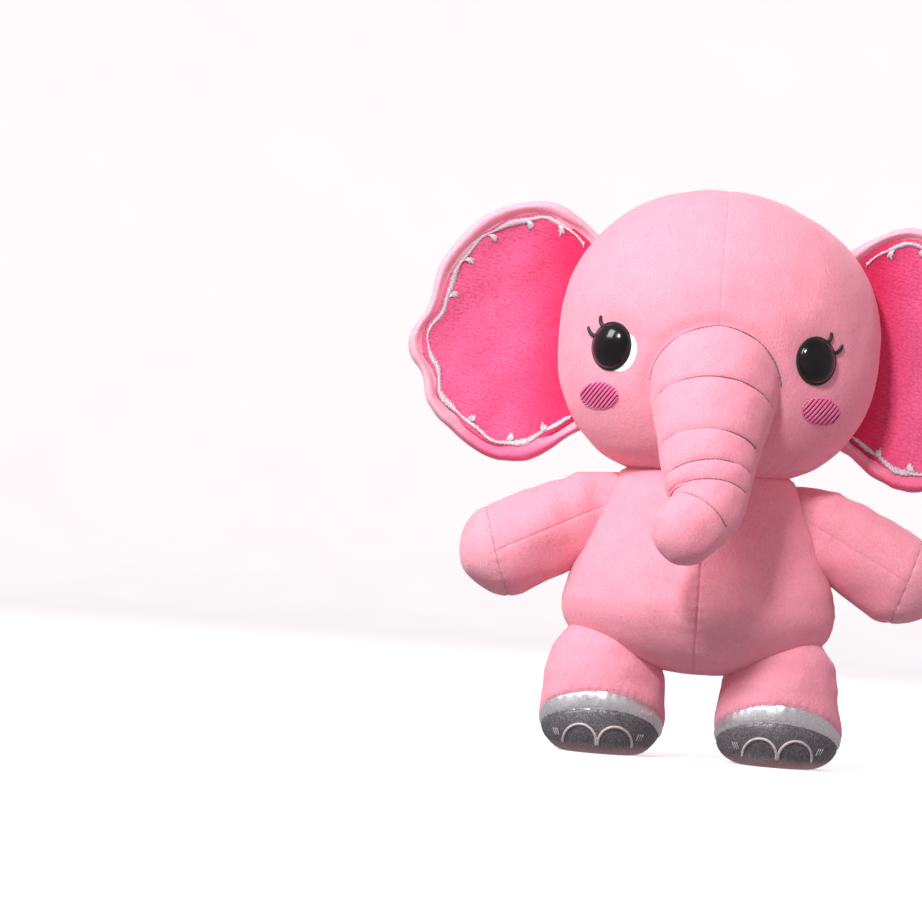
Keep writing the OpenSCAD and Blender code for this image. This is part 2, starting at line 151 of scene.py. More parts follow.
def lumps(p, size, seed, count=14):
    """Soft random swellings of about unit height, from waves in random directions."""
    rng = np.random.default_rng(seed)
    total = np.zeros(len(p))
    for _ in range(count):
        direction = rng.normal(size=3)
        direction /= np.linalg.norm(direction)
        wave = size * rng.uniform(0.7, 1.7)
        total += np.sin(p @ direction * 2 * math.pi / wave + rng.uniform(0, 2 * math.pi))
    return total / math.sqrt(count / 2)


def seam(across, along, depth=0.9, width=0.75, pull=5.0, pucker=6.5):
    """Height of the fabric by a seam: a narrow groove, a shallow valley, and puckers along it."""
    near = np.exp(-(across / width) ** 2)
    round_about = np.exp(-(across / pull) ** 2)
    waves = np.sin(2 * math.pi * along / pucker + 2.2 * np.sin(along / 13.0))
    return -depth * near - 0.55 * depth * round_about + 0.28 * depth * waves * round_about * (1 - near)


def spline(points, steps, closed=False):
    """Catmull-Rom curve through points, each span cut in steps."""
    p = np.asarray(points, float)
    n = len(p)
    out = []
    for i in range(n if closed else n - 1):
        if closed:
            a, b, c, d = (p[(i + k) % n] for k in (-1, 0, 1, 2))
        else:
            a, b, c, d = p[max(i - 1, 0)], p[i], p[i + 1], p[min(i + 2, n - 1)]
        for t in np.arange(steps) / steps:
            out.append(0.5 * (2 * b + (c - a) * t + (2 * a - 5 * b + 4 * c - d) * t ** 2
                              + (3 * b - a - 3 * c + d) * t ** 3))
    if not closed:
        out.append(p[-1])
    return np.array(out)


def crowded(seams, coarse, fine, reach):
    """Angles round a form, in radians, close together near its seams."""
    angles = []
    a = -180.0
    while a < 180 - fine / 2:
        angles.append(a)
        gap = min(abs((a - s + 180) % 360 - 180) for s in seams)
        a += fine if gap < reach else coarse
    return np.radians(angles)


# ---------- meshes ----------

def row(points):
    """Millimetres from the body's axis to metres in the row frame."""
    return (np.asarray(points, float) + AXIS) * MM


def new_mesh(name, points, faces, finish):
    mesh = bpy.data.meshes.new(name)
    mesh.from_pydata(row(points).tolist(), [], [list(map(int, face)) for face in faces])
    tidy = bmesh.new()
    tidy.from_mesh(mesh)
    bmesh.ops.remove_doubles(tidy, verts=tidy.verts, dist=1e-6)
    bmesh.ops.recalc_face_normals(tidy, faces=tidy.faces)
    tidy.to_mesh(mesh)
    tidy.free()
    mesh.shade_smooth()
    mesh.materials.append(finish)
    piece = bpy.data.objects.new(name, mesh)
    scene.collection.objects.link(piece)
    return piece


def ring_faces(rows, cols):
    """Quads over rows of points that close round, then a fan to a pole point at each end."""
    i, j = np.meshgrid(np.arange(rows - 1), np.arange(cols), indexing="ij")
    k = (j + 1) % cols
    quads = np.stack([i * cols + j, i * cols + k, (i + 1) * cols + k, (i + 1) * cols + j], -1)
    faces = quads.reshape(-1, 4).tolist()
    start, end = rows * cols, rows * cols + 1
    last = (rows - 1) * cols
    for c in range(cols):
        d = (c + 1) % cols
        faces.append([start, d, c])
        faces.append([end, last + c, last + d])
    return faces


def closed_form(name, rings, finish):
    """A closed skin over rings (rows x columns x 3), each end drawn together at its middle."""
    rings = np.asarray(rings, float)
    rows, cols = rings.shape[:2]
    points = np.vstack([rings.reshape(-1, 3), rings[0].mean(0), rings[-1].mean(0)])
    return new_mesh(name, points, ring_faces(rows, cols), finish)


def points_of(piece):
    flat = np.empty(len(piece.data.vertices) * 3)
    piece.data.vertices.foreach_get("co", flat)
    return flat.reshape(-1, 3) / MM - AXIS


def normals_of(piece):
    flat = np.empty(len(piece.data.vertices) * 3)
    piece.data.vertices.foreach_get("normal", flat)
    return flat.reshape(-1, 3)


def set_points(piece, points):
    piece.data.vertices.foreach_set("co", row(points).ravel())
    piece.data.update()


def raise_skin(piece, height):
    """Moves each point along its normal by height(points), in millimetres."""
    p = points_of(piece)
    set_points(piece, p + normals_of(piece) * height(p)[:, None])


def split(piece, name, at, normal, finish):
    """Cuts a piece with a plane: the side that normal points to becomes a new piece."""
    other = piece.copy()
    other.data = piece.data.copy()
    other.name = name
    other.data.materials.clear()
    other.data.materials.append(finish)
    scene.collection.objects.link(other)
    for part, keep_outer in ((piece, False), (other, True)):
        cut = bmesh.new()
        cut.from_mesh(part.data)
        bmesh.ops.bisect_plane(
            cut, geom=cut.verts[:] + cut.edges[:] + cut.faces[:], plane_co=Vector(row(at)),
            plane_no=Vector(normal), clear_inner=keep_outer, clear_outer=not keep_outer)
        rim = [edge for edge in cut.edges if edge.is_boundary]
        tuck(cut, rim, Vector(normal) * (1 if keep_outer else -1))
        cut.to_mesh(part.data)
        cut.free()
        part.data.shade_smooth()
    return other


def tuck(cut, rim, inward):
    """Turns a cut edge in behind itself and closes it, like a seam allowance."""
    for shrink, shift in ((0.965, 0.4), (0.80, 2.2), (0.4, 3.0)):
        made = bmesh.ops.extrude_edge_only(cut, edges=rim)["geom"]
        verts = [v for v in made if isinstance(v, bmesh.types.BMVert)]
        rim = [e for e in made if isinstance(e, bmesh.types.BMEdge) and e.is_boundary]
        centre = sum((v.co for v in verts), Vector()) / len(verts)
        for v in verts:
            v.co = centre + (v.co - centre) * shrink + inward * shift * MM
    bmesh.ops.holes_fill(cut, edges=rim)
    bmesh.ops.recalc_face_normals(cut, faces=cut.faces)


class Threads:
    """Many small round strands, gathered in one mesh."""

    def __init__(self):
        self.points = []
        self.faces = []

    def strand(self, path, radii, sides=6, flat=1.0, up=(0, -1, 0)):
        path = np.asarray(path, float)
        radii = np.broadcast_to(radii, len(path))
        tangents = np.gradient(path, axis=0)
        tangents /= np.linalg.norm(tangents, axis=1)[:, None]
        first = len(self.points)
        turn = np.linspace(0, 2 * math.pi, sides, endpoint=False)
        for centre, tangent, radius in zip(path, tangents, radii):
            lift = np.asarray(up, float) - tangent * np.dot(up, tangent)
            lift /= np.linalg.norm(lift)
            aside = np.cross(tangent, lift)
            for a in turn:
                self.points.append(centre + radius * (math.cos(a) * aside + flat * math.sin(a) * lift))
        rows = len(path)
        for i in range(rows - 1):
            for j in range(sides):
                k = (j + 1) % sides
                a, b = first + i * sides, first + (i + 1) * sides
                self.faces.append([a + j, a + k, b + k, b + j])
        self.faces.append([first + j for j in range(sides)])
        self.faces.append([first + (rows - 1) * sides + j for j in reversed(range(sides))])

    def stitches(self, path, length, gap, radius, up=(0, -1, 0), sink=0.25):
        """Running stitches along a dense path: each rises from the fabric and dips back into it."""
        path = np.asarray(path, float)
        steps = np.linalg.norm(np.diff(path, axis=0), axis=1)
        s = np.concatenate([[0], np.cumsum(steps)])
        start = 0.0
        while start + length < s[-1]:
            at = np.linspace(start, start + length, 7)
            points = np.stack([np.interp(at, s, path[:, k]) for k in range(3)], -1)
            arch = np.sin(np.linspace(0, math.pi, 7)) ** 0.6
            points += np.asarray(up, float) * ((arch - 1) * sink)[:, None]
            self.strand(points, radius * (0.55 + 0.45 * arch), up=up)
            start += length + gap

    def piece(self, name, finish):
        return new_mesh(name, np.array(self.points), self.faces, finish)


def tree_of(piece):
    mesh = piece.data
    return BVHTree.FromPolygons([v.co.copy() for v in mesh.vertices],
                                [list(face.vertices) for face in mesh.polygons])


def touch(tree, x, z):
    """Point and normal where a line along +Y, at x and z, first meets a skin."""
    start = Vector(row((x, -400, z)))
    place, normal, _, _ = tree.ray_cast(start, Vector((0, 1, 0)))
    if place is None:
        place, normal, _, _ = tree.find_nearest(start + Vector((0, 0.35, 0)))
    normal = np.array(normal)
    return np.array(place) / MM - AXIS, normal if normal[1] < 0 else -normal


# ---------- finishes ----------

def srgb(r, g, b):
    channels = [c / 255 for c in (r, g, b)]
    return tuple(c / 12.92 if c <= 0.04045 else ((c + 0.055) / 1.055) ** 2.4 for c in channels) + (1.0,)


class Finish:
    """A material whose nodes are placed with short calls."""

    def __init__(self, name, roughness=0.6, metallic=0.0):
        self.material = bpy.data.materials.new(name)
        self.material.use_nodes = True
        self.nodes = self.material.node_tree.nodes
        self.links = self.material.node_tree.links
        self.shader = self.nodes["Principled BSDF"]
        self.shader.inputs["Roughness"].default_value = roughness
        self.shader.inputs["Metallic"].default_value = metallic
        self.place = self.node("ShaderNodeTexCoord").outputs["Object"]

    def node(self, kind, **values):
        made = self.nodes.new(kind)
        for key, value in values.items():
            setattr(made, key, value)
        return made

    def feed(self, socket, value):
        if isinstance(value, bpy.types.NodeSocket):
            self.links.new(value, socket)
        else:
            socket.default_value = value

    def texture(self, kind, sizes, output="Fac", stretch=None, turn=(0, 0, 0), **values):
        made = self.node(kind, **values)
        for name, value in sizes.items():
            made.inputs[name].default_value = value
        self.links.new(self.stretched(stretch, turn), made.inputs["Vector"])
        return made.outputs[output]

    def noise(self, scale, detail=3.0, rough=0.6, stretch=None):
        sizes = {"Scale": scale, "Detail": detail, "Roughness": rough}
        return self.texture("ShaderNodeTexNoise", sizes, stretch=stretch)

    def cells(self, scale, output="Distance", stretch=None):
        return self.texture("ShaderNodeTexVoronoi", {"Scale": scale}, output, stretch)

    def waves(self, scale, distortion=0.0, turn=(0, 0, 0)):
        sizes = {"Scale": scale, "Distortion": distortion}
        return self.texture("ShaderNodeTexWave", sizes, turn=turn, bands_direction="X")

    def stretched(self, stretch=None, turn=(0, 0, 0)):
        if stretch is None and turn == (0, 0, 0):
            return self.place
        mapping = self.node("ShaderNodeMapping")
        mapping.inputs["Scale"].default_value = stretch or (1, 1, 1)
        mapping.inputs["Rotation"].default_value = [math.radians(a) for a in turn]
        self.links.new(self.place, mapping.inputs["Vector"])
        return mapping.outputs["Vector"]

    def ramp(self, factor, *stops):
        ramp = self.node("ShaderNodeValToRGB")
        elements = ramp.color_ramp.elements
        while len(elements) < len(stops):
            elements.new(0.5)
        for element, (position, colour) in zip(elements, stops):
            element.position = position
            element.color = colour
        self.links.new(factor, ramp.inputs["Fac"])
        return ramp.outputs["Color"]

    def blend(self, a, b, factor, kind="MIX"):
        node = self.node("ShaderNodeMix", data_type="RGBA", blend_type=kind)
        for socket, value in ((node.inputs[6], a), (node.inputs[7], b), (node.inputs[0], factor)):
            self.feed(socket, value)
        return node.outputs[2]

    def maths(self, operation, a, b):
        node = self.node("ShaderNodeMath", operation=operation)
        self.feed(node.inputs[0], a)
        self.feed(node.inputs[1], b)
        return node.outputs[0]

    def along(self, axis, low, high, mirrored=False):
        """0 below low and 1 above high, in millimetres in the row frame."""
        parts = self.node("ShaderNodeSeparateXYZ")
        self.links.new(self.place, parts.inputs[0])
        at = parts.outputs[axis]
        if mirrored:
            at = self.maths("ABSOLUTE", at, 0.0)
        ranged = self.node("ShaderNodeMapRange", interpolation_type="SMOOTHSTEP")
        self.links.new(at, ranged.inputs["Value"])
        ranged.inputs["From Min"].default_value = low * MM
        ranged.inputs["From Max"].default_value = high * MM
        return ranged.outputs["Result"]

    def colour(self, source):
        self.feed(self.shader.inputs["Base Color"], source)
        return self

    def rough(self, source, low, high):
        ranged = self.node("ShaderNodeMapRange")
        self.links.new(source, ranged.inputs["Value"])
        ranged.inputs["To Min"].default_value = low
        ranged.inputs["To Max"].default_value = high
        self.links.new(ranged.outputs["Result"], self.shader.inputs["Roughness"])
        return self

    def bump(self, *layers):
        """Each layer is a height socket with its depth in millimetres."""
        below = None
        for height, depth in layers:
            bump = self.node("ShaderNodeBump")
            bump.inputs["Strength"].default_value = 1.0
            bump.inputs["Distance"].default_value = depth * MM
            self.links.new(height, bump.inputs["Height"])
            if below is not None:
                self.links.new(below, bump.inputs["Normal"])
            below = bump.outputs["Normal"]
        self.links.new(below, self.shader.inputs["Normal"])
        return self

    def set(self, **values):
        for name, value in values.items():
            self.shader.inputs[name.replace("_", " ")].default_value = value
        return self


def plush(name, base, deep, pile=1.0, sheen=0.35, low=None):
    """Short-pile fabric with a fine nap and a soft sheen; low is its colour at the ears' lower edge."""
    finish = Finish(name, roughness=0.92)
    mottle = finish.noise(90, 2, 0.5)
    nap = finish.noise(1150, 2, 0.7)
    brushed = finish.noise(420, 3, 0.65, stretch=(1, 1, 0.45))
    cloth = finish.ramp(mottle, (0.25, deep), (0.75, base))
    fibre = finish.ramp(nap, (0.32, srgb(222, 205, 212)), (0.66, srgb(255, 255, 255)))
    if low is not None:
        cloth = finish.blend(low, cloth, finish.along("Z", 150, 176))
    finish.colour(finish.blend(cloth, fibre, 0.55, "MULTIPLY"))
    finish.bump((brushed, 0.35 * pile), (nap, 0.30 * pile))
    finish.set(Sheen_Weight=sheen, Sheen_Roughness=0.45, Sheen_Tint=srgb(255, 214, 226))
    finish.set(Subsurface_Weight=0.22, Subsurface_Radius=(1.0, 0.35, 0.42), Subsurface_Scale=0.006)
    finish.set(Specular_IOR_Level=0.25)
    return finish.material


def knit(name, base, deep):
    """Fine warp knit: offset rows of small loops, with painted shade that deepens its colour towards the
    head.
    """
    finish = Finish(name, roughness=0.85)
    loops = finish.cells(760, stretch=(0.78, 0.5, 1.25))
    rows = finish.waves(150, 1.4, turn=(0, 78, 0))
    mottle = finish.noise(40, 2, 0.5)
    tint = finish.ramp(mottle, (0.3, deep), (0.7, base))
    # Painted shade: the lining turns deep pink towards the head, where its hollow lies in shade.
    tint = finish.blend(srgb(230, 46, 106), tint, finish.along("X", 78, 112, mirrored=True))
    gaps = finish.ramp(loops, (0.25, srgb(255, 255, 255)), (0.85, srgb(236, 186, 206)))
    shade = finish.ramp(rows, (0.0, srgb(242, 228, 234)), (0.6, srgb(255, 255, 255)))
    finish.colour(finish.blend(finish.blend(tint, gaps, 0.85, "MULTIPLY"), shade, 0.4, "MULTIPLY"))
    finish.bump((rows, 0.06), (finish.maths("SUBTRACT", 1.0, loops), 0.2))
    finish.set(Sheen_Weight=0.25, Sheen_Roughness=0.5, Sheen_Tint=srgb(255, 190, 215))
    finish.set(Subsurface_Weight=0.12, Subsurface_Radius=(1.0, 0.3, 0.4), Subsurface_Scale=0.004)
    return finish.material


def thread(name, light, dark, gloss=0.45):
    """Twisted embroidery thread."""
    finish = Finish(name, roughness=gloss)
    twist = finish.noise(1700, 2, 0.6)
    finish.colour(finish.ramp(twist, (0.3, dark), (0.7, light)))
    finish.bump((twist, 0.12))
    finish.set(Sheen_Weight=0.3, Sheen_Roughness=0.4)
    return finish.material


def faded_thread(name):
    """Grey thread that shows clearly at one side and sinks into the pink pile at the other."""
    finish = Finish(name, roughness=0.7)
    twist = finish.noise(900, 3, 0.7)
    dark = finish.ramp(twist, (0.3, srgb(96, 74, 84)), (0.7, srgb(176, 140, 152)))
    faded = finish.ramp(twist, (0.3, srgb(214, 146, 166)), (0.7, srgb(244, 176, 194)))
    finish.colour(finish.blend(faded, dark, finish.along("X", -20, 12)))
    finish.bump((twist, 0.15))
    return finish.material


def felt(name, light, dark):
    finish = Finish(name, roughness=0.95)
    matted = finish.noise(700, 5, 0.7)
    finish.colour(finish.ramp(matted, (0.3, dark), (0.7, light)))
    finish.bump((matted, 0.3))
    finish.set(Sheen_Weight=0.35, Sheen_Roughness=0.5)
    return finish.material


def lame(name):
    """Silver foil cloth: metal with a fine crushed grain."""
    finish = Finish(name, roughness=0.3, metallic=0.85)
    grain = finish.noise(1500, 2, 0.8)
    crush = finish.noise(330, 3, 0.6)
    finish.colour(finish.ramp(grain, (0.25, srgb(190, 191, 196)), (0.6, srgb(240, 240, 243))))
    finish.rough(grain, 0.32, 0.5)
    finish.bump((crush, 0.07), (grain, 0.05))
    return finish.material


def glitter(name):
    """Dark glitter cloth, with a painted pink reflection towards the floor."""
    finish = Finish(name, roughness=0.5, metallic=0.45)
    flakes = finish.cells(2400, "Color")
    grey = finish.ramp(flakes, (0.15, srgb(82, 80, 84)), (0.55, srgb(108, 105, 110)),
                       (0.95, srgb(150, 146, 152)))
    # Painted reflection: the sole turns pink over its lowest few millimetres, standing in for pink light
    # reflected up from below; height is its mask, with a ragged edge.
    pink_reflection_paint = finish.ramp(flakes, (0.2, srgb(168, 134, 140)), (0.9, srgb(212, 172, 178)))
    height = finish.maths("ADD", finish.along("Z", 1, 7), finish.maths(
        "MULTIPLY", finish.maths("SUBTRACT", finish.noise(120, 3), 0.5), 0.4))
    finish.colour(finish.blend(pink_reflection_paint, grey, height))
    finish.bump((flakes, 0.12), (finish.noise(300, 2), 0.1))
    return finish.material


ROSE = srgb(253, 171, 188)
ROSE_DEEP = srgb(251, 163, 182)
finishes = {
    "plush_pink": plush("plush_pink", ROSE, ROSE_DEEP),
    "ear_plush": plush("ear_plush", srgb(255, 192, 208), srgb(253, 184, 202), low=srgb(244, 116, 158)),
    "hand_plush": plush("hand_plush", srgb(252, 178, 192), srgb(248, 166, 183), 1.2),
    "tuft_pink": plush("tuft_pink", srgb(240, 110, 155), srgb(220, 80, 130), 1.4, 0.5),
    "knit_pink": knit("knit_pink", srgb(240, 112, 158), srgb(234, 98, 148)),
    "trim_silver": thread("trim_silver", srgb(250, 246, 249), srgb(176, 158, 170), 0.38),
    "thread_grey": faded_thread("thread_grey"),
    "thread_black": thread("thread_black", srgb(34, 30, 32), srgb(12, 11, 12), 0.5),
    "cheek_thread": thread("cheek_thread", srgb(246, 148, 188), srgb(234, 112, 164), 0.36),
    "cheek_gap": thread("cheek_gap", srgb(206, 44, 112), srgb(176, 24, 92), 0.5),
    "felt_black": felt("felt_black", srgb(34, 32, 33), srgb(14, 13, 14)),
    "felt_white": felt("felt_white", srgb(250, 252, 255), srgb(222, 232, 244)),
    "lame_silver": lame("lame_silver"),
    "glitter_grey": glitter("glitter_grey"),
    "motif_thread": thread("motif_thread", srgb(224, 212, 212), srgb(168, 152, 154), 0.5),
}


def eye_gloss():
    """Moulded black plastic, dark brown-grey inside, under a clear coat."""
    finish = Finish("eye_gloss", roughness=0.18)
    depth = finish.noise(90, 2, 0.5)
    finish.colour(finish.ramp(depth, (0.3, srgb(10, 9, 10)), (0.7, srgb(24, 22, 23))))
    finish.rough(finish.noise(60, 2), 0.14, 0.2)
    finish.set(Specular_IOR_Level=0.3, Coat_Weight=0.25, Coat_Roughness=0.05)
    return finish.material


def washer_plastic():
    finish = Finish("washer_white", roughness=0.45)
    grain = finish.noise(500, 3, 0.6)
    finish.colour(finish.ramp(grain, (0.3, srgb(226, 226, 222)), (0.7, srgb(240, 240, 236))))
    finish.bump((grain, 0.03))
    return finish.material


finishes["eye_gloss"] = eye_gloss()
finishes["washer_white"] = washer_plastic()

# ---------- head ----------

def head_profile(psi):
    """Radius and height of the head's outline at a parametric angle, before narrowing."""
    power = np.where(psi >= 0, CROWN_POWER, JAW_POWER)
    reach = np.where(psi >= 0, CROWN, JAW)
    radius = HEAD_RX * np.cos(psi) ** (2 / power)
    height = HEAD_Z + np.sign(psi) * reach * np.abs(np.sin(psi)) ** (2 / power)
    return radius, height


def head_rings():
    angles = crowded([-90, 90], 1.05, 0.34, 3.2)
    psi = np.radians(np.concatenate([np.arange(89, 0, -1.05), np.arange(0, -64.2, -0.9), [-64.35]]))
    radius, height = head_profile(psi)
    turned_in = [(0.985, 1.0), (0.93, 2.4), (0.7, 3.2), (0.35, 3.4)]
    radius = np.concatenate([radius, [radius[-1] * share for share, _ in turned_in]])
    height = np.concatenate([height, [NECK_Z - drop for _, drop in turned_in]])
    x = radius[:, None] * np.cos(angles)
    y = radius[:, None] * np.sin(angles) * HEAD_RY / HEAD_RX
    return np.stack([x, y, np.broadcast_to(height[:, None], x.shape)], -1)


def head_surface(p):
    """Height of the head's fabric above its plain form."""
    front = smooth(-p[:, 1], 0, 20)
    centre_seam = seam(p[:, 0], p[:, 2] + p[:, 1], 0.26, 0.6, 3.0)
    root = np.linalg.norm(p - TRUNK_ROOT, axis=1)
    valley = -1.3 * np.exp(-((root - 35.5) / 3.2) ** 2) * front
    dimples = np.zeros(len(p))
    for side in (1, -1):
        oval = np.hypot((p[:, 0] - side * EYE_X - FACE_SHIFT) / EYE_W, (p[:, 2] - EYE_Z) / EYE_H) * 2
        dimples -= 1.5 * np.exp(-(oval / 1.35) ** 4) * front
    neck = -0.5 * np.exp(-((p[:, 2] - NECK_Z) / 4) ** 2)
    gathers = 0.22 * np.sin(np.arctan2(p[:, 1], p[:, 0]) * 46) * np.exp(-((p[:, 2] - NECK_Z) / 7) ** 2)
    return centre_seam + valley + dimples + neck + gathers + 0.55 * lumps(p, 60, 3) + 0.12 * lumps(p, 17, 4)


head = closed_form("head_skin", head_rings(), finishes["plush_pink"])
raise_skin(head, head_surface)
head_tree = tree_of(head)

# ---------- torso ----------

def torso_rings():
    angles = crowded([-90, 0, 180], 1.25, 0.42, 3.5)
    wall = spline(TORSO_PROFILE, 8)
    neck = wall[-1][0]
    bottom = [(1.5, 44.3), (6, 44.4)]
    top = [(neck - 1.6, NECK_Z + 0.3), (neck - 5, NECK_Z + 2), (neck * 0.7, NECK_Z + 3),
           (neck * 0.3, NECK_Z + 3.2)]
    radius, height = np.vstack([bottom, wall, top]).T
    x = radius[:, None] * np.cos(angles)
    depth = mix(0.76, TORSO_DEPTH, smooth(height, 46, 84))
    y = radius[:, None] * np.sin(angles) * depth[:, None]
    return np.stack([x, y, np.broadcast_to(height[:, None], x.shape)], -1)


def torso_surface(p):
    front = smooth(-p[:, 1], 2, 14)
    low_part = mix(1.0, 0.35, smooth(p[:, 2], 96, 116))
    front_seam = seam(p[:, 0], p[:, 2], 0.85, 0.65, 4.0) * front * low_part
    side_seams = seam(p[:, 1], p[:, 2], 0.7, 0.7, 4.0) * smooth(np.abs(p[:, 0]), 14, 24)
    return front_seam + side_seams + 0.5 * lumps(p, 46, 11) + 0.12 * lumps(p, 14, 12)


torso = closed_form("torso_skin", torso_rings(), finishes["plush_pink"])
raise_skin(torso, torso_surface)

# ---------- trunk ----------

def trunk_line():
    """Centres, radii and lengths along the trunk, from its root to its tip."""
    knots = np.column_stack([np.array(TRUNK_PATH, float), TRUNK_RADII])
    dense = spline(knots, 40)
    centres, radii = dense[:, :3], dense[:, 3]
    steps = np.linalg.norm(np.diff(centres, axis=0), axis=1)
    return centres, radii, np.concatenate([[0], np.cumsum(steps)])


TRUNK_C, TRUNK_R, TRUNK_S = trunk_line()


def trunk_frame(s):
    """Centre, radius, sideways axis and upward axis at a length along the trunk."""
    centre = np.array([np.interp(s, TRUNK_S, TRUNK_C[:, k]) for k in range(3)])
    ahead = np.array([np.interp(s + 1, TRUNK_S, TRUNK_C[:, k]) for k in range(3)])
    behind = np.array([np.interp(s - 1, TRUNK_S, TRUNK_C[:, k]) for k in range(3)])
    tangent = (ahead - behind) / np.linalg.norm(ahead - behind)
    aside = np.array([1.0, 0, 0]) - tangent * tangent[0]
    aside /= np.linalg.norm(aside)
    return centre, np.interp(s, TRUNK_S, TRUNK_R), aside, np.cross(tangent, aside), tangent


RING_LENGTHS = [float(np.interp(-level, -TRUNK_C[:, 2], TRUNK_S)) for level in RING_LEVELS]


def trunk_height(s, angle):
    """Height of the trunk's fabric: grooves under the ring stitches, and soft rolls between them."""
    upper = smooth(np.sin(angle), -0.15, 0.45)
    height = np.zeros_like(angle)
    for ring in RING_LENGTHS:
        height -= upper * (0.75 * math.exp(-((s - ring) / 0.8) ** 2)
                           + 0.75 * math.exp(-((s - ring) / 3) ** 2))
    height += 0.5 * upper * smooth(s, 8, 30)
    side = np.minimum(np.abs(angle), math.pi - np.abs(angle)) * 22
    return height - 0.4 * np.exp(-(side / 0.9) ** 2) * smooth(s, 10, 20)


def trunk_rings():
    angles = crowded([0, 180], 2.4, 1.0, 6)
    total = TRUNK_S[-1]
    rings = []
    centre, radius, aside, upward, tangent = trunk_frame(0)
    for a in np.radians(np.arange(-87, 0, 4)):
        around = np.cos(angles)[:, None] * aside + np.sin(angles)[:, None] * upward
        rings.append(centre + radius * (math.cos(a) * around + math.sin(a) * tangent))
    for s in np.arange(0, total, 0.55):
        centre, radius, aside, upward, tangent = trunk_frame(s)
        around = np.cos(angles)[:, None] * aside + np.sin(angles)[:, None] * upward
        rings.append(centre + (radius + trunk_height(s, angles))[:, None] * around)
    centre, radius, aside, upward, tangent = trunk_frame(total)
    for a in np.radians(np.arange(3, 88, 4)):
        around = np.cos(angles)[:, None] * aside + np.sin(angles)[:, None] * upward
        swell = trunk_height(total, angles)[:, None] * math.cos(a)
        rings.append(centre + (radius + swell) * math.cos(a) * around + 0.93 * radius * math.sin(a) * tangent)
    return np.array(rings)


trunk = closed_form("trunk_skin", trunk_rings(), finishes["plush_pink"])
raise_skin(trunk, lambda p: 0.3 * lumps(p, 30, 21) * smooth(-p[:, 1], 60, 75) + 0.1 * lumps(p, 11, 22))


def trunk_point(s, degrees, proud=0.0):
    centre, radius, aside, upward, _ = trunk_frame(s)
    a = np.array([math.radians(degrees)])
    out = math.cos(a[0]) * aside + math.sin(a[0]) * upward
    return centre + (radius + trunk_height(s, a)[0] + proud) * out


rings = Threads()
for ring in RING_LENGTHS:
    arc = [trunk_point(ring, a, 0.42) for a in np.arange(22, 158, 0.8)]
    rings.stitches(arc, 2.0, 0.12, 0.34, up=trunk_frame(ring)[3], sink=0.12)
trunk_ring_stitches = rings.piece("trunk_ring_threads", finishes["thread_grey"])


def root_arc():
    """Where the trunk's root ball meets the face, from one side over the top to the other."""
    arc = []
    for a in np.radians(np.arange(-88, 89, 1.0)):
        low, high = 10.0, 40.0
        for _ in range(24):
            reach = (low + high) / 2
            place, _ = touch(head_tree, reach * math.sin(a), TRUNK_ROOT[2] + reach * math.cos(a))
            if np.linalg.norm(place - TRUNK_ROOT) < TRUNK_RADII[0] + 0.3:
                low = reach
            else:
                high = reach
        place, normal = touch(head_tree, low * math.sin(a), TRUNK_ROOT[2] + low * math.cos(a))
        arc.append(place + normal * 0.35)
    return arc


root_threads = Threads()
root_threads.stitches(root_arc(), 2.0, 0.12, 0.36, up=(0, -0.8, 0.6), sink=0.12)
trunk_root_stitch = root_threads.piece("trunk_root_threads", finishes["thread_grey"])

# ---------- face ----------

def on_face(x, z, proud=0.0):
    place, normal = touch(head_tree, x, z)
    return place + normal * proud


def oval_form(name, x, z, w, h, profile, finish, turns=72):
    """A raised oval on the face: profile lists (share of the radius, height above the fabric)."""
    _, out = touch(head_tree, x, z)
    rings = []
    for share, proud in profile:
        ring = []
        for a in np.linspace(0, 2 * math.pi, turns, endpoint=False):
            base = on_face(x + share * w / 2 * math.cos(a), z + share * h / 2 * math.sin(a))
            ring.append(base + out * proud)
        rings.append(ring)
    return closed_form(name, rings, finish)


def dome_profile(height, steps=22):
    """From under the fabric's surface, up a short wall and over a round dome."""
    rising = [(0.5, -1.5), (0.97, -1.4), (1.0, -0.6), (1.0, 0.2)]
    over = [(math.cos(a), 0.2 + height * math.sin(a)) for a in np.linspace(0.08, math.pi / 2 - 0.03, steps)]
    return rising + over


